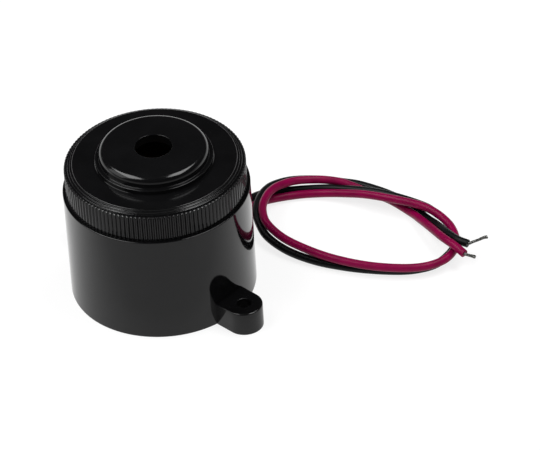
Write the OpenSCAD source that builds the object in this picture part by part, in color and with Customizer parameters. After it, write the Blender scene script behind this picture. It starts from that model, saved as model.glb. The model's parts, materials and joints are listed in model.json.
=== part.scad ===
// Piezo siren buzzer with a knurled cap, two mounting ears and two flying leads.
// Millimetres. The origin is the centre of the base, +Z is up, the ears lie along X
// and the leads leave the case towards +Y.

/* [Case] */
// Outer diameter of the case
case_d = 42; // [40:0.5:46]
// Height of the case, from its base to its rim
case_h = 26.7; // [24:0.1:36]
// Thickness of the case wall
case_wall = 2; // [1.5:0.1:2.4]
// Thickness of the case floor
floor_t = 2; // [1.5:0.1:3]
// Chamfer round the foot of the case
foot_chamfer = 0.3; // [0.1:0.1:0.6]

/* [Ears] */
// Distance between the two ear holes
ear_spacing = 50.5; // [50:0.5:60]
// Width of an ear, and diameter of its round end
ear_w = 8.4; // [7:0.1:10]
// Thickness of an ear
ear_t = 5.8; // [3:0.1:8]
// Diameter of the screw hole in an ear
ear_hole_d = 3.2; // [2.5:0.1:4.5]
// Rounding of an ear's upper edge
ear_round = 0.4; // [0.2:0.1:0.8]

/* [Cap] */
// Width of the ledge round the knurled band, on the rim of the case
ledge_w = 0.7; // [0.4:0.1:1.4]
// Height of the knurled band
knurl_h = 6.3; // [5:0.1:9]
// Depth of the grooves between the ribs
rib_depth = 0.35; // [0.2:0.05:0.5]
// Number of ribs
rib_count = 125; // [60:1:160]
// Width of the stepped shoulder, from the grooves to the flat top
shoulder_w = 1.5; // [0.9:0.1:2.4]
// Height of the shoulder, from the band to the flat top
shoulder_h = 1; // [0.8:0.1:2]
// Rounding of the edge of the flat top
shoulder_round = 0.3; // [0.1:0.05:0.3]
// Diameter of the raised boss
boss_d = 24.3; // [20:0.1:28]
// Height of the boss above the flat top
boss_h = 3.5; // [3.3:0.1:6]
// Rounding of the upper edge of the boss
boss_round = 1.8; // [1:0.1:2]
// Flare at the foot of the boss
boss_flare = 1.5; // [0.3:0.1:1.7]
// Diameter of the sound port
port_d = 8.4; // [5:0.1:12]
// Thickness of the cap's top
cap_t = 2; // [1.4:0.1:2.6]
// Length of the spigot that sits inside the case
spigot_h = 4; // [2.5:0.1:6]
// Wall of the spigot
spigot_wall = 1.6; // [1:0.1:2]
// Radial gap between the spigot and the case
spigot_gap = 0.1; // [0.05:0.05:0.3]

/* [Sounder] */
// Gap between the edge of the brass plate and the spigot
plate_gap = 0.6; // [0.3:0.1:1.5]
// Thickness of the brass plate
plate_t = 0.4; // [0.2:0.05:0.6]
// Diameter of the ceramic disc
ceramic_d = 25; // [18:0.5:26]
// Thickness of the ceramic disc
ceramic_t = 0.3; // [0.2:0.05:0.5]
// Bare edge of the ceramic round the silver electrode
electrode_margin = 0.8; // [0.4:0.1:1.5]
// Thickness of the silver electrode
electrode_t = 0.1; // [0.05:0.01:0.15]
// Width of the feedback electrode
feedback_w = 4; // [3:0.1:6]
// Length of the feedback electrode
feedback_l = 6; // [4:0.1:8]
// Gap between the two electrodes
electrode_gap = 0.6; // [0.3:0.1:1]
// Depth of the air chamber above the plate
chamber_h = 2.8; // [2:0.1:4]
// Width of the ring that the plate is bonded to
seat_w = 1.6; // [1:0.1:2.5]
// Overlap of the plate under that ring, measured from the plate's edge
seat_inset = 0.4; // [0.2:0.1:1]
// Thickness of the adhesive ring
glue_t = 0.4; // [0.2:0.1:0.8]

/* [Board] */
// Gap between the edge of the circuit board and the case wall
board_gap = 2; // [1.2:0.1:2.2]
// Thickness of the circuit board
board_t = 1.6; // [1:0.1:2]
// Distance between the two board posts
post_spacing = 24; // [22:0.5:26]
// Height of a board post above the case floor
post_h = 4; // [3.5:0.1:6]
// Diameter of a board post
post_d = 5.2; // [4.5:0.1:6]
// Diameter of the screw shanks
screw_d = 2.2; // [1.8:0.1:2.6]
// Length of the screws under their heads
screw_l = 5; // [4:0.5:5]
// Diameter of the screw heads
screw_head_d = 4; // [3.4:0.1:4.4]
// Height of the screw heads
screw_head_h = 1.4; // [1:0.1:2]
// Diameter of the component legs
leg_d = 0.6; // [0.5:0.05:0.8]
// Diameter of a solder joint at the board
joint_d = 1.7; // [1.3:0.1:1.9]
// Height of a solder joint
joint_h = 1; // [0.6:0.1:1.4]
// Clearance of shanks and legs in their holes, on the radius
hole_gap = 0.1; // [0.05:0.01:0.15]

/* [Components] */
// Diameter of the coil's ferrite flanges
coil_d = 8; // [6:0.1:9]
// Height of the coil
coil_h = 9; // [6:0.1:12]
// Diameter of the electrolytic capacitor
can_d = 6.3; // [5:0.1:7]
// Height of the electrolytic capacitor
can_h = 11; // [7:0.1:12]
// Thickness of the capacitor's plastic sleeve
sleeve_t = 0.2; // [0.1:0.05:0.3]
// Diameter of the transistor's case
transistor_d = 4.6; // [4:0.1:5.2]
// Height of the transistor's case
transistor_h = 4.8; // [4:0.1:5.5]
// Height of the transistor above the board
transistor_lift = 2; // [1:0.1:4]
// Diameter of the resistors
resistor_d = 2.4; // [1.8:0.1:2.6]
// Length of the resistors
resistor_l = 6.4; // [5:0.1:7]
// Diameter of the diode
diode_d = 2; // [1.6:0.1:2.6]
// Length of the diode
diode_l = 4.2; // [3:0.1:5]
// Hole spacing of the resistors and the diode
axial_pitch = 10.2; // [9.5:0.1:11]
// Height of the resistors and the diode above the board
axial_lift = 0.4; // [0.3:0.1:1]
// Thickness of the film capacitor
film_t = 2.6; // [2:0.1:3.5]
// Width of the film capacitor
film_w = 7.2; // [6.4:0.1:8]
// Height of the film capacitor
film_h = 6.4; // [5:0.1:9]
// Diameter of the wires to the sounder
wire_d = 0.9; // [0.7:0.1:1.2]

/* [Leads] */
// Outer diameter of a lead
lead_d = 1.9; // [1.6:0.1:1.9]
// Diameter of a lead's bare conductor
core_d = 0.6; // [0.4:0.05:0.8]
// Distance between the two leads where they leave the case
lead_spacing = 2.3; // [2.2:0.1:2.5]
// Diameter of the outlet in the case wall
outlet_d = 5; // [4.9:0.1:5.2]
// Height of the outlet's centre above the base
outlet_z = 4; // [4:0.1:4.4]
// Depth that the outlet's seal lies inside the wall
seal_inset = 0.4; // [0.3:0.1:0.6]
// Clearance of the seal round the leads and in the outlet, on the radius
seal_gap = 0.05; // [0.02:0.01:0.1]

/* [Hidden] */
$fn = 96;

// Overshoot of a cut past the face that it opens
cut = 1;

// Case
case_r = case_d / 2;
bore_r = case_r - case_wall;
board_r = bore_r - board_gap;
board_z = floor_t + post_h;
board_top = board_z + board_t;

// Cap, from the rim of the case upwards
band_z = case_h + knurl_h;
top_z = band_z + shoulder_h;
boss_z = top_z + boss_h;
knurl_r = case_r - ledge_w;
root_r = knurl_r - rib_depth;
top_r = root_r - shoulder_w;
boss_r = boss_d / 2;
port_r = port_d / 2;
step_h = shoulder_h / 3;
step_w = shoulder_w / 3;
roof_z = top_z - cap_t;
spigot_r = bore_r - spigot_gap;
spigot_in_r = spigot_r - spigot_wall;
hollow_r = boss_r - cap_t;
hollow_z = boss_z - cap_t;

// Sounder, from the roof of the cap downwards
plate_top = roof_z - chamber_h;
plate_z = plate_top - plate_t;
plate_r = spigot_in_r - plate_gap;
ceramic_z = plate_z - ceramic_t;
electrode_z = ceramic_z - electrode_t;
seat_r = plate_r - seat_inset;
electrode_r = ceramic_d / 2 - electrode_margin;
feedback_x = -electrode_r + feedback_l / 2;
blob_d = 2;
blob_h = 0.6;
blob_gap = 0.5;

// Places on the board, in the board's plane
coil_at = [0, -8.6];
can_at = [-7.2, 7.6];
film_at = [9.2, -7.4];
transistor_at = [7.4, 7.4];
resistor_rows = [3.4, 0.4];
diode_row = -2.6;
leg_below = 1.4;
can_pitch = 2.5;
coil_pitch = 5;
film_pitch = 5;
transistor_pitch = 1.9;
axial_bend = 0.8;

// Wires from the board to the sounder: foot on the board, then end on the sounder
foot_r = board_r - 3.4;
main_wire_ends = [polar(foot_r, 72), [4.5, 4]];
feedback_wire_ends = [polar(foot_r, 208), [feedback_x, 0]];
ground_wire_ends = [polar(foot_r, 241), polar(ceramic_d / 2 + blob_gap + blob_d / 2, 235)];

// Leads
outlet_y = case_r - seal_inset;
tail_bend = 1.5;
tail_y = bore_r - 5;
tube_sides = 8;

// Route of each lead's centreline outside the case; y is measured from the case's outer face
red_route = [
    [lead_spacing / 2, -seal_inset, outlet_z],
    [1, 3, 3.7], [-0.2, 10.5, 2.2], [0.8, 15, 1.4], [4, 20, 1.1], [8.2, 23.5, 1.5], [13, 25.9, 2.4],
    [18, 27.6, 3.5], [24, 29.4, 4.2], [30, 31.5, 4.3], [34, 32.3, 4], [38, 32, 3.6], [41.5, 30.8, 3.2],
    [45, 28.1, 2.8], [46.5, 25, 2.6], [46.7, 21.5, 2.5], [45.2, 17.5, 2.6], [42.2, 14, 2.7],
    [37.5, 10.5, 2.8], [32.5, 7.8, 2.9], [26.5, 5.5, 3.1], [20.5, 4, 3.5], [14.5, 3.3, 4],
    [9, 4.2, 4.5], [5.8, 6, 5], [3.6, 8.5, 5.4], [1.7, 12.5, 5.2], [1.1, 16.5, 4.5], [2, 21, 3.6],
    [5, 25.4, 2.8], [8.5, 28.2, 2.3], [11.5, 29.5, 1.8], [15, 30.4, 1.3], [21.5, 31.5, 1.4],
    [29, 30.8, 1.7], [33, 29.5, 2.5], [37.5, 27.7, 3.7], [43, 25.7, 4.8], [47, 25, 5], [50.6, 24.5, 4.6]
];
black_route = [
    [-lead_spacing / 2, -seal_inset, outlet_z],
    [-1.3, 3, 3.7], [-2.3, 11.5, 2.5], [-0.9, 16.5, 1.5], [2.5, 21.4, 1], [7, 25.2, 1.3],
    [10.5, 27, 1.8], [15.5, 28.9, 2.7], [20.5, 30.4, 3.4], [26, 32, 3.4], [30.5, 33.4, 2.9],
    [33, 33.7, 2.5], [37, 33.5, 1.8], [41, 31.8, 1.2], [43.7, 29, 1], [45, 25.5, 1], [45.1, 21, 1],
    [43.2, 17, 1], [40, 13.6, 1], [34.5, 9.7, 1], [29, 6.7, 1], [23, 4.1, 1.2], [16.5, 2.5, 1.7],
    [10.5, 2.6, 2.4], [6.5, 4.1, 3.1], [3.3, 6.4, 3.8], [0.8, 10, 4.2], [-0.8, 14.4, 3.9],
    [-0.8, 18.6, 3.1], [0.6, 22.7, 2.2], [4.5, 27.3, 1.4], [8.5, 30, 1], [12.6, 31.9, 1],
    [20.5, 33.5, 1], [28, 33, 1], [33, 31.7, 1.5], [37, 30.2, 2.8], [42, 28.1, 4.3], [46.3, 27.1, 4.9],
    [49.1, 27.5, 4.9]
];

// The bare conductors bend aside; their points are measured from the lead's end
red_core_route = [[0, 0, 0], [0.6, 0.2, -0.1], [1.5, 0.6, -0.2], [2.4, 1.1, -0.4]];
black_core_route = [
    [0, 0, 0], [0.2, 0.4, 0], [0.4, 1.2, 0], [0.8, 2.6, -0.1], [1.1, 4.1, -0.2], [1.4, 5, -0.4]
];

// A point at radius r and angle a
function polar(r, a) = [r * cos(a), r * sin(a)];

// Points of an arc about [x, y], from angle a to angle b
function arc(x, y, r, a, b, steps = 6) =
    [for (i = [0:steps]) [x, y] + polar(r, a + (b - a) * i / steps)];

// Outline of the cap's outer side, from the port down to the foot of the shoulder
function cap_outside() = concat(
    [[port_r, boss_z]],
    arc(boss_r - boss_round, boss_z - boss_round, boss_round, 90, 0, 8),
    arc(boss_r + boss_flare, top_z + boss_flare, boss_flare, 180, 270),
    arc(top_r - shoulder_round, top_z - shoulder_round, shoulder_round, 90, 0, 3),
    [[top_r, top_z - step_h], [top_r + step_w, top_z - step_h * 1.3]],
    [[top_r + step_w, top_z - step_h * 2], [top_r + step_w * 2, top_z - step_h * 2.3]],
    [[top_r + step_w * 2, band_z], [root_r, band_z]]
);

// Outline of the cap's inner side, from the rim of the case up to the port
function cap_inside() = [
    [root_r, case_h], [spigot_r, case_h], [spigot_r, case_h - spigot_h],
    [spigot_in_r, case_h - spigot_h], [spigot_in_r, roof_z], [seat_r, roof_z],
    [seat_r, plate_top + glue_t], [seat_r - seat_w, plate_top + glue_t],
    [seat_r - seat_w, roof_z], [hollow_r, roof_z], [hollow_r, hollow_z], [port_r, hollow_z]
];

// Outline of the ribs: four points to a rib
function rib_outline() = [
    for (i = [0:rib_count - 1])
        for (p = [[-0.32, root_r], [-0.16, knurl_r], [0.16, knurl_r], [0.32, root_r]])
            polar(p[1], (i + p[0]) * 360 / rib_count)
];

// A lead's route in the part's own frame
function from_case(route) = [for (p = route) p + [0, case_r, 0]];

// Directions along a path and across it
function unit(v) = v / norm(v);
function tangent(path, i) = unit(path[i + 1] - path[i - 1]);
function last_leg(path) = unit(path[len(path) - 1] - path[len(path) - 2]);
function ring(path, i, r, t, up) =
    let (s = unit(cross(t, up)), n = cross(s, t))
    [for (k = [0:tube_sides - 1]) let (a = (k + 0.5) * 360 / tube_sides)
        path[i] + r * (cos(a) * s + sin(a) * n)];

// A tube of radius r along a path, with its ends square to the directions start and end
module tube(path, r, start, end, up = [0, 0, 1]) {
    n = len(path);
    function along(i) = i == 0 ? start : i == n - 1 ? end : tangent(path, i);
    points = [for (i = [0:n - 1]) each ring(path, i, r, along(i), up)];
    sides = [for (i = [0:n - 2]) for (k = [0:tube_sides - 1])
        let (a = i * tube_sides + k, b = i * tube_sides + (k + 1) % tube_sides)
        [a, b, b + tube_sides, a + tube_sides]];
    first = [for (k = [tube_sides - 1:-1:0]) k];
    last = [for (k = [0:tube_sides - 1]) (n - 1) * tube_sides + k];
    polyhedron(points, concat(sides, [first], [last]), convexity = 10);
}

// Puts one child at each end of a line along X
module both_sides(spacing) {
    for (side = [-1, 1]) translate([side * spacing / 2, 0, 0]) children();
}

// Half of an ear's section: a strip with its upper edge rounded
module ear_section() {
    polygon(concat([[0, 0], [ear_w / 2, 0]],
        arc(ear_w / 2 - ear_round, ear_t - ear_round, ear_round, 0, 90, 4), [[0, ear_t]]));
}

// The two ears as one bar through the case, with round ends
module ear_bar() {
    both_sides(ear_spacing) rotate_extrude() ear_section();
    for (side = [0, 1])
        translate([-ear_spacing / 2, 0, 0]) rotate([90, 0, 90])
            linear_extrude(ear_spacing) mirror([side, 0, 0]) ear_section();
}

module case() {
    color("#141414") difference() {
        union() {
            rotate_extrude() polygon([
                [0, 0], [case_r - foot_chamfer, 0], [case_r, foot_chamfer],
                [case_r, case_h], [0, case_h]
            ]);
            ear_bar();
        }
        difference() {
            translate([0, 0, floor_t]) cylinder(r = bore_r, h = case_h);
            both_sides(post_spacing) cylinder(d = post_d, h = board_z);
        }
        both_sides(ear_spacing) translate([0, 0, -cut]) cylinder(d = ear_hole_d, h = ear_t + 2 * cut);
        both_sides(post_spacing) translate([0, 0, board_top - screw_l - hole_gap])
            cylinder(d = screw_d + 2 * hole_gap, h = screw_l);
        translate([0, bore_r - cut, outlet_z]) rotate([-90, 0, 0])
            cylinder(d = outlet_d, h = case_wall + 2 * cut);
    }
}

module cap() {
    color("#181818") union() {
        rotate_extrude() polygon(concat(cap_outside(), cap_inside()));
        translate([0, 0, case_h]) linear_extrude(knurl_h) difference() {
            polygon(rib_outline());
            circle(r = root_r - rib_depth);
        }
    }
}

module adhesive_ring() {
    color("#d9d6cc") translate([0, 0, plate_top]) difference() {
        cylinder(r = seat_r, h = glue_t);
        translate([0, 0, -cut]) cylinder(r = seat_r - seat_w, h = glue_t + 2 * cut);
    }
}

module brass_plate() {
    color("#c9a24a") translate([0, 0, plate_z]) cylinder(r = plate_r, h = plate_t);
}

module ceramic_disc() {
    color("#d8cfb4") translate([0, 0, ceramic_z]) cylinder(d = ceramic_d, h = ceramic_t);
}

// The strip of the feedback electrode, widened all round by grow
module feedback_strip(grow, h) {
    intersection() {
        translate([feedback_x - feedback_l / 2 - grow, -feedback_w / 2 - grow, 0])
            cube([feedback_l + 2 * grow, feedback_w + 2 * grow, h]);
        cylinder(r = electrode_r + grow, h = h);
    }
}

module main_electrode() {
    color("#cfd1d2") translate([0, 0, electrode_z]) difference() {
        cylinder(r = electrode_r, h = electrode_t);
        translate([0, 0, -cut]) feedback_strip(electrode_gap, electrode_t + 2 * cut);
    }
}

module feedback_electrode() {
    color("#cfd1d2") translate([0, 0, electrode_z]) feedback_strip(0, electrode_t);
}

module solder_blob(at, z) {
    translate([at[0], at[1], z - blob_h]) cylinder(d1 = blob_d / 2, d2 = blob_d, h = blob_h);
}

module disc_solder() {
    color("#bfc1c4") {
        solder_blob(main_wire_ends[1], electrode_z);
        solder_blob(feedback_wire_ends[1], electrode_z);
        solder_blob(ground_wire_ends[1], plate_z);
    }
}

// A wire in a slack S from the board up to a blob of solder whose lower face is at height z
module sounder_wire(ends, z) {
    steps = 10;
    path = [for (i = [0:steps]) let (t = i / steps, s = t * t * (3 - 2 * t))
        [ends[0][0] + (ends[1][0] - ends[0][0]) * s, ends[0][1] + (ends[1][1] - ends[0][1]) * s,
            board_top + (z - board_top) * t]];
    tube(path, wire_d / 2, [0, 0, 1], [0, 0, 1], [0, 1, 0]);
}

module main_wire() {
    color("#b3202a") sounder_wire(main_wire_ends, electrode_z - blob_h);
}

module feedback_wire() {
    color("#2352a0") sounder_wire(feedback_wire_ends, electrode_z - blob_h);
}

module ground_wire() {
    color("#1c1c1e") sounder_wire(ground_wire_ends, plate_z - blob_h);
}

// Places of the legs of each component, in the board's plane
function two_legs(at, pitch) = [at - [0, pitch / 2], at + [0, pitch / 2]];
function axial_legs(row) = [[-axial_pitch / 2, row], [axial_pitch / 2, row]];
coil_legs_at = two_legs(coil_at, coil_pitch);
can_legs_at = two_legs(can_at, can_pitch);
film_legs_at = two_legs(film_at, film_pitch);
transistor_legs_at = [for (i = [-1:1]) transistor_at + [i * transistor_pitch, 0]];
resistor_legs_at = [for (row = resistor_rows) each axial_legs(row)];
diode_legs_at = axial_legs(diode_row);
legs_at = concat(coil_legs_at, can_legs_at, film_legs_at, transistor_legs_at,
    resistor_legs_at, diode_legs_at);
tails_at = [[-lead_spacing / 2, tail_y - tail_bend], [lead_spacing / 2, tail_y - tail_bend]];

module circuit_board() {
    color("#b58a4e") translate([0, 0, board_z]) difference() {
        cylinder(r = board_r, h = board_t);
        both_sides(post_spacing) translate([0, 0, -cut])
            cylinder(d = screw_d + 2 * hole_gap, h = board_t + 2 * cut);
        for (p = legs_at) translate([p[0], p[1], -cut])
            cylinder(d = leg_d + 2 * hole_gap, h = board_t + 2 * cut, $fn = 24);
        for (p = tails_at) translate([p[0], p[1], -cut])
            cylinder(d = core_d + 2 * hole_gap, h = board_t + 2 * cut, $fn = 24);
    }
}

module board_screws() {
    color("#9a9c9f") both_sides(post_spacing) difference() {
        union() {
            translate([0, 0, board_top]) cylinder(d = screw_head_d, h = screw_head_h);
            translate([0, 0, board_top - screw_l]) cylinder(d = screw_d, h = screw_l);
        }
        for (turn = [0, 90]) rotate(turn)
            translate([-screw_head_d * 0.32, -0.3, board_top + screw_head_h * 0.4])
                cube([screw_head_d * 0.64, 0.6, screw_head_h]);
    }
}

// A cone of solder round a pin, wide end at the board
module solder_cone(pin_d) {
    difference() {
        cylinder(d1 = joint_d, d2 = pin_d + 0.4, h = joint_h, $fn = 24);
        translate([0, 0, -cut]) cylinder(d = pin_d + 0.04, h = joint_h + 2 * cut, $fn = 24);
    }
}

module solder_joints() {
    color("#bfc1c4") {
        for (p = legs_at) translate([p[0], p[1], board_z]) mirror([0, 0, 1]) solder_cone(leg_d);
        for (p = tails_at) translate([p[0], p[1], board_top]) solder_cone(core_d);
    }
}

// Straight legs from height z down through the board
module legs(places, z) {
    color("#b9bbbe") for (p = places) translate([p[0], p[1], board_z - leg_below])
        cylinder(d = leg_d, h = z - board_z + leg_below, $fn = 24);
}

coil_flange = 1.6;
coil_waist_d = coil_d * 0.45;

module coil_core() {
    color("#2e2e30") translate([coil_at[0], coil_at[1], board_top]) {
        cylinder(d = coil_d, h = coil_flange);
        cylinder(d = coil_waist_d, h = coil_h);
        translate([0, 0, coil_h - coil_flange]) cylinder(d = coil_d, h = coil_flange);
    }
}

module coil_winding() {
    color("#a8562a") translate([coil_at[0], coil_at[1], board_top + coil_flange]) difference() {
        cylinder(d = coil_d - 0.6, h = coil_h - 2 * coil_flange);
        translate([0, 0, -cut]) cylinder(d = coil_waist_d, h = coil_h + 2 * cut);
    }
}

module coil_legs() {
    legs(coil_legs_at, board_top);
}

module capacitor_can() {
    color("#c4c6c9") translate([can_at[0], can_at[1], board_top])
        cylinder(d = can_d - 2 * sleeve_t, h = can_h);
}

module capacitor_sleeve() {
    color("#20263a") translate([can_at[0], can_at[1], board_top]) difference() {
        cylinder(d = can_d, h = can_h);
        translate([0, 0, -cut]) cylinder(d = can_d - 2 * sleeve_t, h = can_h + 2 * cut);
    }
}

module capacitor_legs() {
    legs(can_legs_at, board_top);
}

module film_capacitor() {
    color("#8a2f22") translate([film_at[0] - film_t / 2, film_at[1] - film_w / 2, board_top])
        cube([film_t, film_w, film_h]);
}

module film_capacitor_legs() {
    legs(film_legs_at, board_top);
}

module transistor() {
    color("#1b1b1d") translate([transistor_at[0], transistor_at[1], board_top + transistor_lift])
        difference() {
            cylinder(d = transistor_d, h = transistor_h);
            translate([-transistor_d, transistor_d * 0.3, -cut])
                cube([2 * transistor_d, transistor_d, transistor_h + 2 * cut]);
        }
}

module transistor_legs() {
    legs(transistor_legs_at, board_top + transistor_lift);
}

// A lying cylinder between its two holes
module axial_body(row, d, l) {
    translate([-l / 2, row, board_top + axial_lift + d / 2]) rotate([0, 90, 0]) cylinder(d = d, h = l);
}

// The two bent legs of a lying component
module axial_leg_pair(row, d, l) {
    z = board_top + axial_lift + d / 2;
    run = axial_pitch / 2 - axial_bend - l / 2;
    color("#b9bbbe") for (side = [0, 1]) mirror([side, 0, 0]) {
        translate([l / 2, row, z]) rotate([0, 90, 0]) cylinder(d = leg_d, h = run, $fn = 24);
        translate([l / 2 + run, row, z - axial_bend]) rotate([90, 0, 0])
            rotate_extrude(angle = 90) translate([axial_bend, 0]) circle(d = leg_d, $fn = 24);
        translate([axial_pitch / 2, row, board_z - leg_below])
            cylinder(d = leg_d, h = z - axial_bend - board_z + leg_below, $fn = 24);
    }
}

module resistors() {
    color("#c8ab7c") for (row = resistor_rows) axial_body(row, resistor_d, resistor_l);
}

module resistor_legs() {
    for (row = resistor_rows) axial_leg_pair(row, resistor_d, resistor_l);
}

module diode() {
    color("#202022") axial_body(diode_row, diode_d, diode_l);
}

module diode_legs() {
    axial_leg_pair(diode_row, diode_d, diode_l);
}

// The plug of sealant in the outlet, with the two leads through it
module outlet_seal() {
    color("#202021") translate([0, bore_r, outlet_z]) rotate([-90, 0, 0]) difference() {
        cylinder(d = outlet_d - 2 * seal_gap, h = outlet_y - bore_r);
        both_sides(lead_spacing) translate([0, 0, -cut])
            cylinder(d = lead_d + 2 * seal_gap, h = case_wall + 2 * cut);
    }
}

// The stretch of a lead inside the case, from the outlet to the underside of the board
module lead_tail(side) {
    translate([side * lead_spacing / 2, 0, 0]) {
        translate([0, tail_y, outlet_z]) rotate([-90, 0, 0]) cylinder(d = lead_d, h = outlet_y - tail_y);
        translate([0, tail_y, outlet_z + tail_bend]) rotate([-90, 0, 0]) rotate([0, 90, 0])
            rotate_extrude(angle = 90) translate([tail_bend, 0]) circle(d = lead_d);
        translate([0, tail_y - tail_bend, outlet_z + tail_bend])
            cylinder(d = lead_d, h = board_z - outlet_z - tail_bend);
    }
}

module red_tail() {
    color("#b0176b") lead_tail(1);
}

module black_tail() {
    color("#1c1c1e") lead_tail(-1);
}

module tail_cores() {
    color("#c3c4c6") for (p = tails_at) translate([p[0], p[1], board_z])
        cylinder(d = core_d, h = board_t + joint_h, $fn = 24);
}

// A lead outside the case, square to the seal
module lead(route) {
    path = from_case(route);
    tube(path, lead_d / 2, [0, 1, 0], last_leg(path));
}

module red_lead() {
    color("#b0176b") lead(red_route);
}

module black_lead() {
    color("#1c1c1e") lead(black_route);
}

// The bare conductor at the end of a lead, along points measured from that end
module lead_core(route, points) {
    path = from_case(route);
    tip = path[len(path) - 1];
    tube([for (p = points) tip + p], core_d / 2, last_leg(path), last_leg(points));
}

module red_lead_core() {
    color("#c3c4c6") lead_core(red_route, red_core_route);
}

module black_lead_core() {
    color("#c3c4c6") lead_core(black_route, black_core_route);
}

case();
cap();
adhesive_ring();
brass_plate();
ceramic_disc();
main_electrode();
feedback_electrode();
disc_solder();
main_wire();
feedback_wire();
ground_wire();
circuit_board();
board_screws();
solder_joints();
coil_core();
coil_winding();
coil_legs();
capacitor_can();
capacitor_sleeve();
capacitor_legs();
film_capacitor();
film_capacitor_legs();
transistor();
transistor_legs();
resistors();
resistor_legs();
diode();
diode_legs();
outlet_seal();
red_tail();
black_tail();
tail_cores();
red_lead();
black_lead();
red_lead_core();
black_lead_core();
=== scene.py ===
"""The looks of a piezo siren with a knurled cap and two flying leads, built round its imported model.

Shapes are worked out in millimetres and turned into metres when a mesh is made. The part stands on
the floor with its ears along X, and its leads leave the case towards +Y.
"""
import json
import math

import bmesh
import bpy
from mathutils import Matrix, Vector


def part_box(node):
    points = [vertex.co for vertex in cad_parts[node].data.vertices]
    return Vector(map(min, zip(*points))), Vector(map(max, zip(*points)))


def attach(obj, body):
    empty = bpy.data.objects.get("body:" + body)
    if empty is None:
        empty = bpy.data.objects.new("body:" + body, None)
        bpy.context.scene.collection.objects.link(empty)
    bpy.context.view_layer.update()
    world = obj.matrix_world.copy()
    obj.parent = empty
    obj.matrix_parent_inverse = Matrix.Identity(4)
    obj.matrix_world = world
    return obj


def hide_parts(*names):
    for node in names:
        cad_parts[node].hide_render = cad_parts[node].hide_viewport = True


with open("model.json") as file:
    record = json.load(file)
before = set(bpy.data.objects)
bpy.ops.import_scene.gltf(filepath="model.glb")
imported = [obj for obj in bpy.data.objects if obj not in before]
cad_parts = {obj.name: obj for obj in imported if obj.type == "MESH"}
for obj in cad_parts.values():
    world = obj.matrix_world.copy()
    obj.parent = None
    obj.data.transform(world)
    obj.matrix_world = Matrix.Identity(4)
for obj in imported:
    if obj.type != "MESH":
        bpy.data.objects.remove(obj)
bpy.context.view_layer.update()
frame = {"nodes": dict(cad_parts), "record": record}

MM = 0.001

# Sizes, in millimetres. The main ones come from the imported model.
_, case_high = (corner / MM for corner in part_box("case"))
_, cap_high = (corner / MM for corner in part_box("cap"))
ear_mount = next(m for m in frame["record"]["mounts"] if m["name"] == "ear_holes")
CASE_R, RIM_Z = case_high.y, case_high.z
KNURL_R, BOSS_Z = cap_high.x, cap_high.z
EAR_X = ear_mount["dims"]["spacing_x_mm"] / 2
EAR_HOLE_R = ear_mount["dims"]["hole_r_mm"]
EAR_HALF = case_high.x - EAR_X
EAR_T, EAR_ROUND, EAR_HOLE_EDGE = 5.8, 0.32, 0.07
FOOT_CHAMFER, RIM_ROUND = 0.05, 0.18
CASE_WALL, FLOOR_T = 2, 2
BORE_R = CASE_R - CASE_WALL
POST_X, POST_R, POST_TOP = 12, 2.6, 6
PILOT_R, PILOT_Z = 1.2, 2.5
OUTLET_R, OUTLET_Z = 2.5, 4
SEAL_Y = CASE_R - 0.4
LEAD_R, LEAD_X = 0.95, 1.15


# ---------------------------------------------------------------- camera

# The photograph's point of view, in degrees and in millimetres from the middle of the case's foot.
# The nearest and farthest distances that it shows are in metres.
CAMERA_TURN = 47
CAMERA_REACH, CAMERA_HEIGHT = 794.5, 638.4
CAMERA_PAN, CAMERA_TILT, CAMERA_ROLL = 1.78, 38.21, 3.59
SENSOR_WIDTH, FOCAL_LENGTH = 36, 300
NEAREST, FARTHEST = 0.05, 20


def turned(degrees, axis="Z"):
    return Matrix.Rotation(math.radians(degrees), 4, axis)


def make_camera():
    camera = bpy.data.objects.new("camera", bpy.data.cameras.new("camera"))
    bpy.context.scene.collection.objects.link(camera)
    camera.data.sensor_width = SENSOR_WIDTH
    camera.data.lens = FOCAL_LENGTH
    camera.data.clip_start, camera.data.clip_end = NEAREST, FARTHEST
    stand = Matrix.Translation(Vector((0, -CAMERA_REACH, CAMERA_HEIGHT)) * MM)
    aim = turned(-CAMERA_PAN) @ turned(90 - CAMERA_TILT, "X") @ turned(-CAMERA_ROLL)
    camera.matrix_world = turned(CAMERA_TURN) @ stand @ aim
    bpy.context.scene.camera = camera


# ---------------------------------------------------------------- meshes

# In degrees and in metres.
SHARP_ANGLE = 32
WELD_DISTANCE = 2e-7


def arc(x, y, r, start, end, steps):
    """Points of an arc about (x, y), from angle start to angle end, in degrees."""
    angles = [math.radians(start + (end - start) * i / steps) for i in range(steps + 1)]
    return [(x + r * math.cos(a), y + r * math.sin(a)) for a in angles]


def mix(a, b, t):
    return a + (b - a) * t


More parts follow.
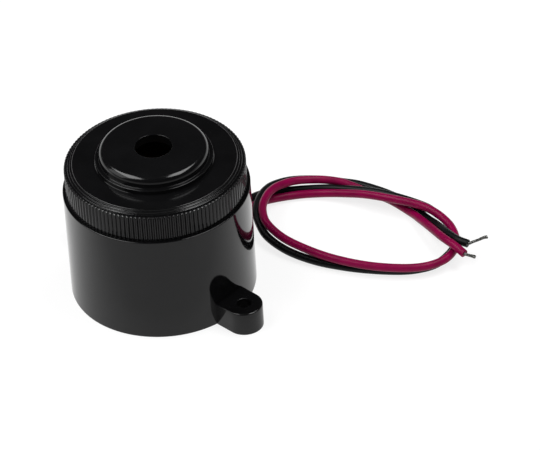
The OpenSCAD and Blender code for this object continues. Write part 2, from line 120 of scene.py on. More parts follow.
class Patches:
    """A mesh gathered patch by patch, in millimetres; patches join where their points coincide."""

    def __init__(self):
        self.points, self.faces = [], []

    def strip(self, rows, closed=False):
        """Quads between rows that all have as many points."""
        start, n = len(self.points), len(rows[0])
        for row in rows:
            self.points.extend(Vector(p) for p in row)
        for j in range(len(rows) - 1):
            for i in range(n if closed else n - 1):
                a, b = start + j * n + i, start + j * n + (i + 1) % n
                self.faces.append((a, b, b + n, a + n))

    def fan(self, row, centre):
        """Triangles from a closed row to one point."""
        start, n = len(self.points), len(row)
        self.points.extend(Vector(p) for p in row)
        self.points.append(Vector(centre))
        self.faces.extend((start + i, start + (i + 1) % n, start + n) for i in range(n))

    def plug(self, profile, columns, x=0):
        """A profile of (r, z) turned about the upright axis through (x, 0), with both ends shut."""
        turns = [2 * math.pi * i / columns for i in range(columns)]
        rows = [[(x + r * math.cos(a), r * math.sin(a), z) for a in turns] for r, z in profile]
        self.strip(rows, closed=True)
        for row, (_, z) in ((rows[0], profile[0]), (rows[-1], profile[-1])):
            self.fan(row, (x, 0, z))

    def repeat_turned(self):
        """Adds all that is there once more, turned by half a turn."""
        count = len(self.points)
        self.points += [Vector((-p.x, -p.y, p.z)) for p in self.points]
        self.faces += [tuple(i + count for i in face) for face in self.faces]

    def build(self, name):
        mesh = bpy.data.meshes.new(name)
        mesh.from_pydata([p * MM for p in self.points], [], self.faces)
        bm = bmesh.new()
        bm.from_mesh(mesh)
        bmesh.ops.remove_doubles(bm, verts=bm.verts, dist=WELD_DISTANCE)
        bmesh.ops.recalc_face_normals(bm, faces=bm.faces)
        bm.to_mesh(mesh)
        bm.free()
        smooth(mesh)
        piece = bpy.data.objects.new(name, mesh)
        bpy.context.scene.collection.objects.link(piece)
        return piece


def smooth(mesh):
    mesh.shade_smooth()
    mesh.set_sharp_from_angle(angle=math.radians(SHARP_ANGLE))


def dress(piece, material, slot, *nodes):
    """Gives a piece its material and body, and hides the CAD nodes that it stands for."""
    piece.data.materials.append(material)
    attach(piece, "root")
    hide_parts(*nodes)


# ---------------------------------------------------------------- leads

# Routes of the leads' centrelines; y is measured from the case's outer face.
RED_ROUTE = [
    (LEAD_X, SEAL_Y - CASE_R, OUTLET_Z),
    (1, 3, 3.7), (-0.2, 10.5, 2.2), (0.8, 15, 1.4), (4, 20, 1.1), (8.2, 23.5, 1.5),
    (13, 25.9, 2.4), (18, 27.6, 3.5), (24, 29.4, 4.2), (30, 31.5, 4.3), (34, 32.3, 4),
    (38, 32, 3.6), (41.5, 30.8, 3.2), (45, 28.1, 2.8), (46.5, 25, 2.6), (46.7, 21.5, 2.5),
    (45.2, 17.5, 2.6), (42.2, 14, 2.7), (37.5, 10.5, 2.8), (32.5, 7.8, 2.9), (26.5, 5.5, 3.1),
    (20.5, 4, 3.5), (14.5, 3.3, 4), (9, 4.2, 4.5), (5.8, 6, 5), (3.6, 8.5, 5.4), (1.7, 12.5, 5.2),
    (1.1, 16.5, 4.5), (2, 21, 3.6), (5, 25.4, 2.8), (8.5, 28.2, 2.3), (11.5, 29.5, 1.8),
    (15, 30.4, 1.3), (21.5, 31.5, 1.4), (29, 30.8, 1.7), (33, 29.5, 2.5), (37.5, 27.7, 3.7),
    (43, 25.7, 4.8), (47, 25, 5), (50.6, 24.5, 4.6),
]
BLACK_ROUTE = [
    (-LEAD_X, SEAL_Y - CASE_R, OUTLET_Z),
    (-1.3, 3, 3.7), (-2.3, 11.5, 2.5), (-0.9, 16.5, 1.5), (2.5, 21.4, 1), (7, 25.2, 1.3),
    (10.5, 27, 1.8), (15.5, 28.9, 2.7), (20.5, 30.4, 3.4), (26, 32, 3.4), (30.5, 33.4, 2.9),
    (33, 33.7, 2.5), (37, 33.5, 1.8), (41, 31.8, 1.2), (43.7, 29, 1), (45, 25.5, 1),
    (45.1, 21, 1), (43.2, 17, 1), (40, 13.6, 1), (34.5, 9.7, 1), (29, 6.7, 1), (23, 4.1, 1.2),
    (16.5, 2.5, 1.7), (10.5, 2.6, 2.4), (6.5, 4.1, 3.1), (3.3, 6.4, 3.8), (0.8, 10, 4.2),
    (-0.8, 14.4, 3.9), (-0.8, 18.6, 3.1), (0.6, 22.7, 2.2), (4.5, 27.3, 1.4), (8.5, 30, 1),
    (12.6, 31.9, 1), (20.5, 33.5, 1), (28, 33, 1), (33, 31.7, 1.5), (37, 30.2, 2.8),
    (42, 28.1, 4.3), (46.3, 27.1, 4.9), (49.1, 27.5, 4.9),
]
# Bare conductors, measured from the end of their lead.
RED_CORE = [(0, 0, 0), (0.6, 0.2, -0.1), (1.5, 0.6, -0.2), (2.4, 1.1, -0.4)]
BLACK_CORE = [
    (0, 0, 0), (0.2, 0.4, 0), (0.4, 1.2, 0), (0.8, 2.6, -0.1), (1.1, 4.1, -0.2), (1.4, 5, -0.4),
]
ROUTE_STEPS, CORE_STEPS = 6, 8
LEAD_SIDES, STRAND_SIDES = 20, 10

# A lead's cut end: (place beyond its last point, radius), over the lip and into the bore.
CUT_END = [
    (-0.1, LEAD_R), (-0.03, LEAD_R * 0.99), (0, LEAD_R * 0.93),
    (0, 0.45), (-0.04, 0.39), (-0.5, 0.36),
]

# Each conductor has strands in a ring, twisted about one in the middle. ROOT is how far they reach
# into the insulation; RING is the ring's radius and TIP that of the tips, both as shares of a
# strand's radius. The SHORT ones end a step before the others.
RING_STRANDS, STRAND_R, STRAND_PITCH = 6, 0.115, 1.4
STRAND_ROOT, STRAND_RING, STRAND_TIP = 0.45, 2.02, 0.7
SPREAD_POWER = 4
SHORT_STRANDS = (1, 4)


def curve_through(points, steps, low=-math.inf):
    """A smooth curve through points, kept at or above height low."""
    p = [Vector(q) for q in points]
    p = [2 * p[0] - p[1]] + p + [2 * p[-1] - p[-2]]
    curve = []
    for i in range(1, len(p) - 2):
        a, b, c, d = p[i - 1:i + 3]
        first, second, third = c - a, 2 * a - 5 * b + 4 * c - d, 3 * b - a - 3 * c + d
        for k in range(steps):
            t = k / steps
            curve.append((2 * b + first * t + second * t ** 2 + third * t ** 3) / 2)
    curve.append(p[-2])
    return [Vector((q.x, q.y, max(q.z, low))) for q in curve]


def length_of(path):
    return sum((b - a).length for a, b in zip(path, path[1:]))


def frames_along(path):
    """At each point of a path, two directions across it that don't twist."""
    result, side = [], None
    for i in range(len(path)):
        along = (path[min(i + 1, len(path) - 1)] - path[max(i - 1, 0)]).normalized()
        side = along.cross(Vector((0, 0, 1))) if side is None else side - along * side.dot(along)
        side.normalize()
        result.append((side, side.cross(along)))
    return result


def tube(patches, path, radii, sides):
    """A tube along a path, with a radius at each point and flat ends."""
    turns = [2 * math.pi * k / sides for k in range(sides)]
    rows = []
    for point, (side, up), r in zip(path, frames_along(path), radii):
        rows.append([point + r * (math.cos(a) * side + math.sin(a) * up) for a in turns])
    patches.strip(rows, closed=True)
    patches.fan(rows[0], path[0])
    patches.fan(rows[-1], path[-1])


def make_lead(name, route):
    """Returns a lead's insulation, cut square and with a bore at its end, and its centreline."""
    wall = Vector((0, CASE_R, 0))
    path = [p + wall for p in curve_through(route, ROUTE_STEPS, LEAD_R)]
    tip, along = path[-1], (path[-1] - path[-2]).normalized()
    points = path[:-1] + [tip + along * s for s, _ in CUT_END]
    radii = [LEAD_R] * (len(path) - 1) + [r for _, r in CUT_END]
    patches = Patches()
    tube(patches, points, radii, LEAD_SIDES)
    return patches.build(name), path


def make_strands(name, path, spread):
    """Twisted tinned strands along a path; spread opens them towards the tip."""
    path = [path[0] - (path[1] - path[0]).normalized() * STRAND_ROOT] + path
    frames = frames_along(path)
    total = length_of(path)
    patches = Patches()
    for k in range(RING_STRANDS + 1):
        strand, run = [], 0.0
        for i, (point, (side, up)) in enumerate(zip(path, frames)):
            run += (point - path[i - 1]).length if i else 0
            turn = 2 * math.pi * (k / RING_STRANDS + run / STRAND_PITCH)
            open_by = 1 + spread * (run / total) ** SPREAD_POWER
            reach = STRAND_R * STRAND_RING * open_by if k < RING_STRANDS else 0
            strand.append(point + reach * (math.cos(turn) * side + math.sin(turn) * up))
        if k in SHORT_STRANDS:
            strand.pop()
        radii = [STRAND_R] * (len(strand) - 1) + [STRAND_R * STRAND_TIP]
        tube(patches, strand, radii, STRAND_SIDES)
    return patches.build(name)


def make_leads(materials):
    for colour, route, core, spread in (
            ("red", RED_ROUTE, RED_CORE, 0.6), ("black", BLACK_ROUTE, BLACK_CORE, 0.45)):
        slot = "lead_" + colour
        lead, path = make_lead(colour + "_insulation", route)
        dress(lead, materials[slot], slot, colour + "_lead")
        bare = [path[-1] + p for p in curve_through(core, CORE_STEPS)]
        strands = make_strands(colour + "_strands", bare, spread)
        dress(strands, materials["tinned_strand"], "tinned_strand", colour + "_lead_core")


# ---------------------------------------------------------------- case

# Steps of the mesh along the wall behind an ear and between the ears, along an ear's flank and
# round its end, and round an ear's rounded edge and the rim's.
ARC_STEPS, GAP_STEPS, FLANK_STEPS, END_STEPS = 14, 132, 5, 28
EAR_ROUND_STEPS, RIM_STEPS = 6, 5
# Rows from the outline of a flat face to the hole in it, and of the base towards its middle.
WASHER_ROWS = (0, 0.04, 0.3, 0.6, 0.95, 1)
BASE_ROWS = (1, 0.985, 0.7, 0.4, 0.1)
# The foot's edge: (inset, height), both as shares of the chamfer.
FOOT_EDGE = [(1, 0), (0.55, 0.12), (0.12, 0.55), (0, 1)]
# Heights of rows on the plain wall below and above the ears' tops, and radii of rows on the floor.
LOW_ROWS, HIGH_ROWS, FLOOR_ROWS = (0.5, 2, 4), (10, 15, 20, 24), (9, 3)
# BREAK is the width of a broken edge; the others are the distances from an edge at which a row
# keeps the face beside it flat.
BREAK, NEAR_ROW, ROW, FAR_ROW = 0.1, 0.3, 0.4, 0.6
POST_BREAK, POST_COLUMNS = 0.15, 48
BIT_LENGTH, BIT_INSIDE, BIT_COLUMNS = 3, 1, 64


def half_turn(points):
    return [(-x, -y) for x, y in points]


def at_height(points, z):
    return [(x, y, z) for x, y in points]


def ear_outline(inset, wall_r):
    """An ear's outline in plan, from its lower corner on the wall round to its upper corner."""
    half = EAR_HALF - inset
    corner = math.sqrt(wall_r ** 2 - half ** 2)
    flank = [mix(corner, EAR_X, i / FLANK_STEPS) for i in range(FLANK_STEPS)]
    end = arc(EAR_X, 0, half, -90, 90, END_STEPS)
    return [(x, -half) for x in flank] + end + [(x, half) for x in reversed(flank)]


def corner_angle(inset, wall_r):
    return math.degrees(math.asin((EAR_HALF - inset) / wall_r))


def wall_gap(inset, wall_r):
    """The wall between the ears' corners, without those corners."""
    start = corner_angle(inset, wall_r)
    return arc(0, 0, wall_r, start, 180 - start, GAP_STEPS)[1:-1]


def wall_behind_ear(inset, wall_r):
    """The wall behind an ear, from the lower corner to the upper corner."""
    start = corner_angle(inset, wall_r)
    return arc(0, 0, wall_r, -start, start, ARC_STEPS)


def whole_outline(inset, wall_r):
    """The outline in plan of the wall with both ears."""
    half = ear_outline(inset, wall_r) + wall_gap(inset, wall_r)
    return half + half_turn(half)


def ear_face(patches, inset, wall_r, z):
    """A flat face of the +X ear at height z, round its hole; returns the hole's edge."""
    outline = ear_outline(inset, wall_r) + wall_behind_ear(inset, wall_r)[-2:0:-1]
    centre = Vector((EAR_X, 0, z))
    outer = [Vector((x, y, z)) for x, y in outline]
    hole_r = EAR_HOLE_R + EAR_HOLE_EDGE
    inner = [centre + (p - centre).normalized() * hole_r for p in outer]
    patches.strip([[mix(a, b, t) for a, b in zip(outer, inner)] for t in WASHER_ROWS], closed=True)
    return inner


def add_ear(patches):
    """The +X ear above its foot; returns the (angle, height) of its rounded corner on the wall."""
    turns = [math.radians(90 * i / EAR_ROUND_STEPS) for i in range(EAR_ROUND_STEPS + 1)]
    rounding = [
        (EAR_ROUND * (1 - math.cos(a)), EAR_T - EAR_ROUND + EAR_ROUND * math.sin(a)) for a in turns]
    patches.strip([at_height(ear_outline(inset, CASE_R), z) for inset, z in rounding])
    upper = ear_face(patches, EAR_ROUND, CASE_R, EAR_T)
    lower = ear_face(patches, FOOT_CHAMFER, CASE_R - FOOT_CHAMFER, 0)
    bevel = 0.3 * EAR_HOLE_EDGE
    rows = [upper]
    for wider, z, edge in (
            (bevel, EAR_T - bevel, upper), (0, EAR_T - EAR_HOLE_EDGE, upper),
            (0, EAR_T - ROW, upper), (0, ROW, lower), (0, EAR_HOLE_EDGE, lower)):
        centre = Vector((EAR_X, 0, z))
        out = [Vector((p.x - EAR_X, p.y, 0)).normalized() for p in edge]
        rows.append([centre + d * (EAR_HOLE_R + wider) for d in out])
    patches.strip(rows + [lower], closed=True)
    return [(corner_angle(inset, CASE_R), z) for inset, z in rounding]


def add_foot(patches):
    """The foot's edge, the sides up to the ears' rounded edge, and the base."""
    sides = [(FOOT_CHAMFER * inset, FOOT_CHAMFER * z) for inset, z in FOOT_EDGE]
    sides += [(0, z) for z in (*LOW_ROWS, EAR_T - EAR_ROUND)]
    rows = [at_height(whole_outline(inset, CASE_R - inset), z) for inset, z in sides]
    patches.strip(rows, closed=True)
    base_r = CASE_R - FOOT_CHAMFER
    ring = wall_behind_ear(FOOT_CHAMFER, base_r) + wall_gap(FOOT_CHAMFER, base_r)
    ring += half_turn(ring)
    rows = [[(x * s, y * s, 0) for x, y in ring] for s in BASE_ROWS]
    patches.strip(rows, closed=True)
    patches.fan(rows[-1], (0, 0, 0))


def wall_columns(corners):
    """All round the wall above the ears, the (angle, height) at which each column starts."""
    last, top = corners[-1]
    half = [(-a, z) for a, z in corners]
    half += [(mix(-last, last, i / ARC_STEPS), top) for i in range(1, ARC_STEPS)]
    half += reversed(corners)
    start, low = corners[0]
    half += [(mix(start, 180 - start, i / GAP_STEPS), low) for i in range(1, GAP_STEPS)]
    return half + [(a + 180, z) for a, z in half]


def add_wall(patches, corners):
    """The wall above the ears, the rim, the bore and the floor inside."""
    columns = wall_columns(corners)

    def ring(r, z=None):
        return [
            (r * math.cos(math.radians(a)), r * math.sin(math.radians(a)), low if z is None else z)
            for a, low in columns]
    wall = [(CASE_R, z) for z in (EAR_T + FAR_ROW, *HIGH_ROWS, RIM_Z - ROW)]
    wall += arc(CASE_R - RIM_ROUND, RIM_Z - RIM_ROUND, RIM_ROUND, 0, 90, RIM_STEPS)
    wall += [(r, RIM_Z) for r in (CASE_R - NEAR_ROW, BORE_R + NEAR_ROW, BORE_R + BREAK)]
    bore = (RIM_Z - BREAK, RIM_Z - NEAR_ROW, FLOOR_T + FAR_ROW, FLOOR_T)
    wall += [(BORE_R, z) for z in bore]
    wall += [(r, FLOOR_T) for r in (BORE_R - NEAR_ROW, *FLOOR_ROWS)]
    rows = [ring(CASE_R)] + [ring(r, z) for r, z in wall]
    patches.strip(rows, closed=True)
    patches.fan(rows[-1], (0, 0, FLOOR_T))


def make_case(material):
    patches = Patches()
    corners = add_ear(patches)
    patches.repeat_turned()
    add_foot(patches)
    add_wall(patches, corners)
    post = [
        (POST_R, FLOOR_T), (POST_R, POST_TOP - POST_BREAK), (POST_R - POST_BREAK, POST_TOP),
        (PILOT_R + BREAK, POST_TOP), (PILOT_R, POST_TOP - BREAK), (PILOT_R, PILOT_Z)]
    for x in (-POST_X, POST_X):
        patches.plug(post, POST_COLUMNS, x)
    piece = patches.build("case_moulding")
    bore_outlet(piece)
    dress(piece, material, "case_plastic", "case")


def bore_outlet(piece):
    """Cuts the outlet of the leads through the wall."""
    bit = Patches()
    bit.plug([(OUTLET_R, 0), (OUTLET_R, BIT_LENGTH)], BIT_COLUMNS)
    cutter = bit.build("outlet_cutter")
    start = Matrix.Translation(Vector((0, BORE_R - BIT_INSIDE, OUTLET_Z)) * MM)
    cutter.matrix_world = start @ turned(-90, "X")
    cut = piece.modifiers.new("outlet", "BOOLEAN")
    cut.operation, cut.solver, cut.object = "DIFFERENCE", "EXACT", cutter
    bpy.context.view_layer.update()
    result = piece.evaluated_get(bpy.context.evaluated_depsgraph_get())
    mesh = bpy.data.meshes.new_from_object(result)
    piece.modifiers.clear()
    piece.data = mesh
    mesh.name = piece.name
    smooth(mesh)
    bpy.data.objects.remove(cutter)


# ---------------------------------------------------------------- cap

# The knurled band; a rib's shape is its height over its columns, as shares of the depth.
RIBS, RIB_DEPTH, KNURL_H = 125, 0.35, 6.3
RIB_SHAPE = [0, 0, 0.5, 1, 1, 1, 0.5, 0]
ROOT_R = KNURL_R - RIB_DEPTH
BAND_Z = RIM_Z + KNURL_H
# The band's edges: (place beyond the ribs' root, height, share of a rib's depth), from the band's
# top and from the case's rim.
BAND_TOP = [(0, -0.02, 0), (0, -0.1, 0.5), (0, -0.25, 0.9), (0, -0.5, 1)]
BAND_FOOT = [
    (0, 3, 1), (0, 1.3, 1), (0.1, 0.7, 0.7), (0.16, 0.14, 0.5), (0.12, 0.06, 0.5), (0, 0.01, 0.5),
    (-0.25, 0, 0),
]

# The shoulder's steps. COVE_UP and EDGE_DOWN place the centres of a step's two roundings above and
# below its height.
SHOULDER_W, SHOULDER_H = 1.5, 1
TOP_R, TOP_Z, TOP_ROUND = ROOT_R - SHOULDER_W, BAND_Z + SHOULDER_H, 0.2
STEPS, STEP_W, STEP_H, STEP_ROUND = 2, 0.5, 0.33, 0.08
COVE_UP, EDGE_DOWN, LAST_COVE = 0.06, 0.16, 0.06

# The boss, the narrow ledge round its foot, and the port.
BOSS_R, BOSS_ROUND = 12.3, 1.5
LEDGE_R, LEDGE_Z, LEDGE_ROUND, LEDGE_COVE = 13.2, 35.1, 0.14, 0.06
PORT_R, PORT_EDGE, PORT_ROW, BOSS_ROW = 4.2, 0.08, 0.35, 0.2

# Steps of the mesh round each of these roundings and coves.
PORT_STEPS, BOSS_STEPS, EDGE_STEPS, COVE_STEPS = 4, 12, 5, 3

# The inside.
CAP_T = 2
ROOF_Z, HOLLOW_Z, HOLLOW_R = TOP_Z - CAP_T, BOSS_Z - CAP_T, BOSS_R - CAP_T
SPIGOT_R, SPIGOT_IN_R, SPIGOT_Z, SPIGOT_CHAMFER = BORE_R - 0.1, BORE_R - 1.7, RIM_Z - 4, 0.4
SEAT_R, SEAT_W, SEAT_Z = SPIGOT_IN_R - 1, 1.6, ROOF_Z - 2.4


def cap_profile():
    """The cap's section as a closed list of (radius, height, share of a rib's depth)."""
    plain = [(PORT_R, HOLLOW_Z), (PORT_R, BOSS_Z - PORT_ROW)]
    plain += arc(PORT_R + PORT_EDGE, BOSS_Z - PORT_EDGE, PORT_EDGE, 180, 90, PORT_STEPS)
    plain += [(PORT_R + ROW, BOSS_Z), (BOSS_R - BOSS_ROUND - BOSS_ROW, BOSS_Z)]
    plain += arc(BOSS_R - BOSS_ROUND, BOSS_Z - BOSS_ROUND, BOSS_ROUND, 90, 0, BOSS_STEPS)
    plain += arc(BOSS_R + LEDGE_COVE, LEDGE_Z + LEDGE_COVE, LEDGE_COVE, 180, 270, COVE_STEPS)
    plain += arc(LEDGE_R - LEDGE_ROUND, LEDGE_Z - LEDGE_ROUND, LEDGE_ROUND, 90, 0, EDGE_STEPS)
    plain += [(LEDGE_R, TOP_Z + BREAK)]
    plain += [(r, TOP_Z) for r in (LEDGE_R + BREAK, LEDGE_R + ROW, TOP_R - ROW)]
    plain += arc(TOP_R - TOP_ROUND, TOP_Z - TOP_ROUND, TOP_ROUND, 90, 0, EDGE_STEPS)
    for k in range(STEPS):
        r, z = TOP_R + STEP_W * k, TOP_Z - STEP_H * (k + 1)
        plain += arc(r + STEP_ROUND, z + COVE_UP, STEP_ROUND, 180, 265, COVE_STEPS)
        plain += arc(r + STEP_W - STEP_ROUND, z - EDGE_DOWN, STEP_ROUND, 80, 0, COVE_STEPS)
    last_r = TOP_R + STEPS * STEP_W
    plain += [(last_r, BAND_Z + LAST_COVE), (last_r + LAST_COVE, BAND_Z), (ROOT_R - BREAK, BAND_Z)]
    band = [(ROOT_R + r, BAND_Z + z, rib) for r, z, rib in BAND_TOP]
    band += [(ROOT_R + r, RIM_Z + z, rib) for r, z, rib in BAND_FOOT]
    inside = [
        (SPIGOT_R, RIM_Z), (SPIGOT_R, SPIGOT_Z + SPIGOT_CHAMFER),
        (SPIGOT_R - SPIGOT_CHAMFER, SPIGOT_Z), (SPIGOT_IN_R, SPIGOT_Z), (SPIGOT_IN_R, ROOF_Z),
        (SEAT_R, ROOF_Z), (SEAT_R, SEAT_Z), (SEAT_R - SEAT_W, SEAT_Z), (SEAT_R - SEAT_W, ROOF_Z),
        (HOLLOW_R, ROOF_Z), (HOLLOW_R, HOLLOW_Z)]
    return [(r, z, 0) for r, z in plain] + band + [(r, z, 0) for r, z in inside]


def make_cap(material):
    width = len(RIB_SHAPE)
    columns = RIBS * width
    turns = [2 * math.pi * (i - width / 2) / columns for i in range(columns)]
    rows = []
    for radius, z, rib in cap_profile():
        radii = [radius + rib * RIB_SHAPE[i % width] * RIB_DEPTH for i in range(columns)]
        rows.append([(r * math.cos(a), r * math.sin(a), z) for r, a in zip(radii, turns)])
    patches = Patches()
    patches.strip(rows + rows[:1], closed=True)
    dress(patches.build("cap_moulding"), material, "cap_plastic", "cap")


# ---------------------------------------------------------------- materials

class Nodes:
    """A node tree, with short ways to add to it."""

    def __init__(self, owner):
        owner.use_nodes = True
        self.tree = owner.node_tree

    def add(self, kind, **settings):
        node = self.tree.nodes.new("ShaderNode" + kind)
        for key, value in settings.items():
            setattr(node, key, value)
        return node

    def join(self, source, target):
        self.tree.links.new(source, target)

    def ramp(self, factor, stops):
        """Colours or greys by position."""
        node = self.add("ValToRGB")
        elements = node.color_ramp.elements
        while len(elements) < len(stops):
            elements.new(0.5)
        for element, (position, value) in zip(elements, stops):
            element.position = position
            element.color = (*value, 1) if isinstance(value, tuple) else (value, value, value, 1)
        self.join(factor, node.inputs["Fac"])
        return node.outputs["Color"]


class Look(Nodes):
    """A material round one Principled shader; points of its textures are in millimetres."""

    def __init__(self, name, colour, roughness, metallic=0.0, **sockets):
        self.material = bpy.data.materials.new(name)
        super().__init__(self.material)
        self.shader = self.tree.nodes["Principled BSDF"]
        self.shader.inputs["Base Color"].default_value = (*colour, 1)
        self.shader.inputs["Roughness"].default_value = roughness
        self.shader.inputs["Metallic"].default_value = metallic
        for socket, value in sockets.items():
            self.shader.inputs[socket.replace("_", " ")].default_value = value
        scale = self.add("VectorMath", operation="SCALE")
        scale.inputs["Scale"].default_value = 1 / MM
        self.join(self.add("TexCoord").outputs["Object"], scale.inputs[0])
        self.place = scale.outputs[0]

    def noise(self, size, detail, stretch=(1, 1, 1)):
        """Noise with features of about size millimetres."""
        node = self.add("TexNoise")
        node.inputs["Scale"].default_value = 1 / size
        node.inputs["Detail"].default_value = detail
        squeeze = self.add("Mapping")
        squeeze.inputs["Scale"].default_value = stretch
        self.join(self.place, squeeze.inputs["Vector"])
        self.join(squeeze.outputs[0], node.inputs["Vector"])
        return node.outputs["Fac"]

    def colour(self, factor, stops):
        self.join(self.ramp(factor, stops), self.shader.inputs["Base Color"])

    def roughness(self, factor, low, high):
        node = self.add("MapRange")
        node.inputs["To Min"].default_value = low
        node.inputs["To Max"].default_value = high
        self.join(factor, node.inputs["Value"])
        self.join(node.outputs[0], self.shader.inputs["Roughness"])

    def bump(self, *layers):
        """Bumps of (height source, depth in millimetres), each laid over the one before."""
        normal = None
        for source, depth in layers:
            node = self.add("Bump")
            node.inputs["Distance"].default_value = depth * MM
            self.join(source, node.inputs["Height"])
            if normal:
                self.join(normal, node.inputs["Normal"])
            normal = node.outputs["Normal"]
        self.join(normal, self.shader.inputs["Normal"])


def toned(colour, share):
    return tuple(min(1, share * c) for c in colour)


def gloss_moulding(name, colour, low, high, ripple):
    """Glossy moulded plastic: faint flow ripples, a fine grain and handling marks."""
    look = Look(name, colour, low, IOR=1.47)
    clouds, grain = look.noise(size=7, detail=3), look.noise(size=0.12, detail=4)
    streaks = look.noise(size=1.4, detail=6, stretch=(1, 1, 0.25))
    look.colour(clouds, [(0.3, toned(colour, 0.8)), (0.7, toned(colour, 1.3))])
    look.roughness(look.ramp(streaks, [(0.55, 0.0), (0.75, 1.0)]), low, high)
    look.bump((look.noise(size=9, detail=1), ripple), (grain, 0.0012))
    return look.material


def soft_gloss(name, colour, roughness, specular=0.5):
    """Plain insulation or moulded plastic with a slightly uneven skin."""
    look = Look(name, colour, roughness, IOR=1.5, Specular_IOR_Level=specular)
    clouds = look.noise(size=3.2, detail=3)
    look.colour(clouds, [(0.3, toned(colour, 0.82)), (0.7, toned(colour, 1.15))])
    look.roughness(look.noise(size=1.2, detail=4), roughness * 0.75, roughness * 1.3)
    look.bump((look.noise(size=1.6, detail=2), 0.012), (look.noise(size=0.12, detail=3), 0.002))
    return look.material


def rolled_metal(name, colour, roughness, stretch=(1, 8, 1)):
    """Rolled, drawn or plated metal with fine lines and a little tarnish."""
    look = Look(name, colour, roughness, metallic=1.0)
    lines, tarnish = look.noise(size=0.3, detail=4, stretch=stretch), look.noise(size=2.5, detail=4)
    look.colour(tarnish, [(0.3, toned(colour, 0.72)), (0.65, colour)])
    look.roughness(lines, roughness * 0.7, roughness * 1.4)
    look.bump((lines, 0.003))
    return look.material


def matt_body(name, colour, roughness, fleck, size):
    """Fired, sintered, pressed or cast stuff: matt, with flecks of a second colour."""
    look = Look(name, colour, roughness)
    look.colour(look.noise(size, detail=6), [(0.4, colour), (0.62, fleck)])
    look.roughness(look.noise(size * 2, detail=3), roughness * 0.85, min(1, roughness * 1.15))
    look.bump((look.noise(size * 0.5, detail=4), 0.01))
    return look.material


def wound_copper(name, colour, roughness):
    """Enamelled copper wire wound in close turns."""
    look = Look(name, colour, roughness, metallic=0.9)
    turns = look.add("TexWave", wave_type="BANDS", bands_direction="Z", wave_profile="SIN")
    turns.inputs["Scale"].default_value = 2.2
    turns.inputs["Distortion"].default_value = 0.3
    look.join(look.place, turns.inputs["Vector"])
    height = turns.outputs["Fac"]
    # The colour is painted darker in the grooves between turns, as painted shade, and lighter on the
    # turns' crests, as painted highlight.
    look.colour(height, [(0.1, (0.16, 0.04, 0.012)), (0.6, (0.45, 0.13, 0.04))])
    look.roughness(look.noise(size=0.5, detail=3), 0.2, 0.35)
    look.bump((height, 0.1))
    return look.material


BLACK = (0.0035, 0.0035, 0.0038)
EVEN = (1, 1, 1)
# One look for each material slot of the record: how it is made, then colour, roughness and the rest
# of what that function takes.
LOOKS = {
    "case_plastic": (gloss_moulding, BLACK, 0.06, 0.12, 0.03),
    "cap_plastic": (gloss_moulding, BLACK, 0.12, 0.2, 0.012),
    "lead_red": (soft_gloss, (0.21, 0, 0.046), 0.34, 0.14),
    "lead_black": (soft_gloss, (0.004, 0.0045, 0.005), 0.38, 0.16),
    "tinned_strand": (rolled_metal, (0.22, 0.22, 0.21), 0.24, EVEN),
    "wire_red": (soft_gloss, (0.35, 0.02, 0.02), 0.35),
    "wire_blue": (soft_gloss, (0.01, 0.05, 0.25), 0.35),
    "wire_black": (soft_gloss, (0.01, 0.01, 0.011), 0.35),
    "sealant": (soft_gloss, (0.012, 0.012, 0.012), 0.5),
    "adhesive": (soft_gloss, (0.6, 0.58, 0.5), 0.5),
    # brass_sheet is darker than bright brass, as painted shade of the hollow under the port.
    "brass_sheet": (rolled_metal, (0.4, 0.27, 0.1), 0.35),
    "silver_film": (rolled_metal, (0.75, 0.74, 0.7), 0.45, EVEN),
    "solder": (rolled_metal, (0.6, 0.61, 0.62), 0.22, EVEN),
    "screw_steel": (rolled_metal, (0.5, 0.5, 0.51), 0.3, (4, 4, 1)),
    "tinned_wire": (rolled_metal, (0.62, 0.62, 0.62), 0.25, (3, 3, 0.4)),
    "can_aluminium": (rolled_metal, (0.7, 0.7, 0.71), 0.3, (6, 6, 0.5)),
    "ceramic": (matt_body, (0.62, 0.56, 0.42), 0.7, (0.5, 0.45, 0.33), 0.25),
    "ferrite": (matt_body, (0.02, 0.02, 0.021), 0.65, (0.05, 0.05, 0.052), 0.2),
    "board_laminate": (matt_body, (0.36, 0.19, 0.06), 0.55, (0.3, 0.15, 0.045), 1.2),
    "black_resin": (matt_body, (0.012, 0.012, 0.013), 0.6, (0.02, 0.02, 0.021), 0.15),
    "capacitor_resin": (soft_gloss, (0.25, 0.03, 0.015), 0.25),
    "sleeve_film": (soft_gloss, (0.01, 0.014, 0.04), 0.22),
    "resistor_lacquer": (soft_gloss, (0.5, 0.34, 0.16), 0.35),
    "copper_wire": (wound_copper, (0.42, 0.12, 0.04), 0.25),
}


def make_materials():
    return {name: make(name, *values) for name, (make, *values) in LOOKS.items()}


def dress_nodes(materials):
    """Gives every CAD node the look of its material slot."""
    for part in frame["record"]["subparts"]:
        node = frame["nodes"][part["node"]]
        for slot in node.material_slots:
            slot.material = materials[part["material_slot"]]


# ---------------------------------------------------------------- studio

# Strengths by depth, which is how far a place lies beyond the part as seen from the camera's side:
# in metres on the floor, and of a unit direction in the world. A strength of 1 is white.
# FLOOR_GLOW is the floor's glow in reflections only: dimmer close in front of the part, as painted
# shade on the floor, and white behind it.
FLOOR_GLOW = [(-0.15, 0.3), (-0.07, 0.44), (-0.03, 0.46), (-0.005, 0.78), (0.011, 1), (0.08, 1)]
FLOOR_DEPTH, WORLD_DEPTH = 0.3, 1
MIRRORED_ROOM = [(-0.2, 0.3), (0.3, 1)]
FILL = [(-1, 0.6), (0.5, 0.12)]
# The mirrored room by height: white at the horizon and dark above it.
HORIZON = [(0.1, 1), (0.22, 0.022)]

# How much light the floor scatters as seen, in reflections and for all other light, and how much it
# glows as seen.
SEEN_ALBEDO, MIRRORED_ALBEDO, PLAIN_ALBEDO = 0.25, 0.12, 0.8
SEEN_GLOW = 0.8
FLOOR_HALF = 2000

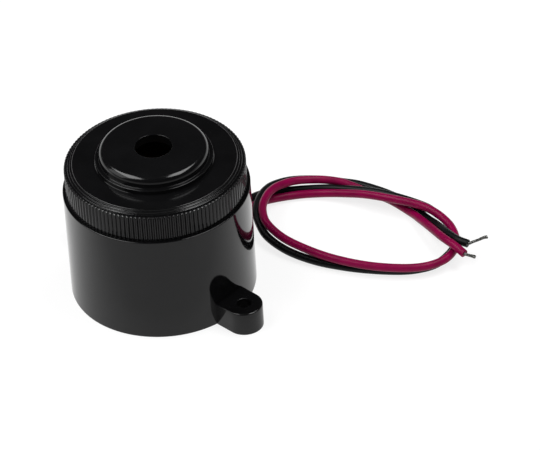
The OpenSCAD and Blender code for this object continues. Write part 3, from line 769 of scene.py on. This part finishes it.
# Azimuth to the right of the camera's side and elevation, distance, width and height, radiance.
SOFTBOXES = {
    "softbox_right": (98, 67, 600, 450, 230, 5.5),
    "softbox_left": (-96, 63, 600, 500, 250, 5.2),
    "softbox_low": (-85, 32, 700, 460, 460, 1.4),
}
LIGHTS_AIM_Z = 30


class Studio(Nodes):
    """The node tree of the world or the floor, whose shader depends on the kind of ray."""

    def __init__(self, owner, output):
        super().__init__(owner)
        self.tree.nodes.clear()
        self.output = self.add(output).inputs["Surface"]
        self.places = self.add("TexCoord").outputs

    def by_depth(self, place, stops, reach):
        """A value from (depth, value) stops, for depths from -reach to reach."""
        along = self.add("VectorMath", operation="DOT_PRODUCT")
        along.inputs[1].default_value = turned(CAMERA_TURN) @ Vector((0, 1, 0))
        self.join(place, along.inputs[0])
        span = self.add("MapRange")
        span.inputs["From Min"].default_value, span.inputs["From Max"].default_value = -reach, reach
        self.join(along.outputs["Value"], span.inputs["Value"])
        stops = [((depth + reach) / (2 * reach), value) for depth, value in stops]
        return self.ramp(span.outputs[0], stops)

    def shown_to(self, kinds, shader, other):
        """One shader for the given kinds of ray and the other shader for all others."""
        rays = self.add("LightPath").outputs
        seen = rays[kinds[0]]
        for kind in kinds[1:]:
            most = self.add("Math", operation="MAXIMUM")
            self.join(seen, most.inputs[0])
            self.join(rays[kind], most.inputs[1])
            seen = most.outputs[0]
        blend = self.add("MixShader")
        self.join(seen, blend.inputs["Fac"])
        self.join(other, blend.inputs[1])
        self.join(shader, blend.inputs[2])
        return blend.outputs[0]

    def show(self, camera, mirrored, other):
        mixed = self.shown_to(["Is Glossy Ray", "Is Transmission Ray"], mirrored, other)
        self.join(self.shown_to(["Is Camera Ray"], camera, mixed), self.output)


def make_world():
    """White to the camera, in reflections a dark room with a white horizon at the back, and for all
    other light a soft fill, mostly from the camera's side."""
    world = bpy.data.worlds.new("studio")
    bpy.context.scene.world = world
    studio = Studio(world, "OutputWorld")
    direction = studio.places["Generated"]

    def backdrop(strength=None):
        node = studio.add("Background")
        node.inputs["Color"].default_value = (1, 1, 1, 1)
        if strength:
            studio.join(strength, node.inputs["Strength"])
        return node
    seen = backdrop()
    mirrored = backdrop(studio.by_depth(direction, MIRRORED_ROOM, WORLD_DEPTH))
    split = studio.add("SeparateXYZ")
    studio.join(direction, split.inputs[0])
    studio.join(studio.ramp(split.outputs["Z"], HORIZON), mirrored.inputs["Color"])
    fill = backdrop(studio.by_depth(direction, FILL, WORLD_DEPTH))
    studio.show(seen.outputs[0], mirrored.outputs[0], fill.outputs[0])


def make_floor():
    """A plain white floor as seen, which keeps the part's shadow; in reflections its glow is painted
    dimmer in front of the part, as painted shade.
    """
    patches = Patches()
    ends = (-FLOOR_HALF, FLOOR_HALF)
    patches.strip([[(x, y, 0) for x in ends] for y in ends])
    floor = patches.build("floor")
    material = bpy.data.materials.new("floor_white")
    studio = Studio(material, "OutputMaterial")

    def matt(albedo):
        node = studio.add("BsdfDiffuse")
        node.inputs["Color"].default_value = (albedo, albedo, albedo, 1)
        return node.outputs[0]

    def glowing(albedo):
        """A matt surface that also glows white: its shader, and the socket of its strength."""
        light, both = studio.add("Emission"), studio.add("AddShader")
        studio.join(matt(albedo), both.inputs[0])
        studio.join(light.outputs[0], both.inputs[1])
        return both.outputs[0], light.inputs["Strength"]
    seen, strength = glowing(SEEN_ALBEDO)
    strength.default_value = SEEN_GLOW
    mirrored, strength = glowing(MIRRORED_ALBEDO)
    # The glow in reflections follows FLOOR_GLOW, which paints shade on the floor in front of the
    # part.
    studio.join(studio.by_depth(studio.places["Object"], FLOOR_GLOW, FLOOR_DEPTH), strength)
    studio.show(seen, mirrored, matt(PLAIN_ALBEDO))
    floor.data.materials.append(material)


def softbox(name, azimuth, elevation, distance, width, height, radiance):
    """A large soft light."""
    light = bpy.data.lights.new(name, "AREA")
    light.shape = "RECTANGLE"
    light.size, light.size_y = width * MM, height * MM
    light.energy = radiance * math.pi * light.size * light.size_y
    lamp = bpy.data.objects.new(name, light)
    bpy.context.scene.collection.objects.link(lamp)
    aim = Matrix.Translation((0, 0, LIGHTS_AIM_Z * MM)) @ turned(CAMERA_TURN + azimuth)
    away = Matrix.Translation((0, 0, distance * MM))
    lamp.matrix_world = aim @ turned(90 - elevation, "X") @ away


def make_studio():
    make_world()
    make_floor()
    for name, values in SOFTBOXES.items():
        softbox(name, *values)


# ---------------------------------------------------------------- the whole

make_camera()
materials = make_materials()
make_leads(materials)
make_case(materials["case_plastic"])
make_cap(materials["cap_plastic"])
dress_nodes(materials)
make_studio()
bpy.context.scene.view_settings.view_transform = "Standard"
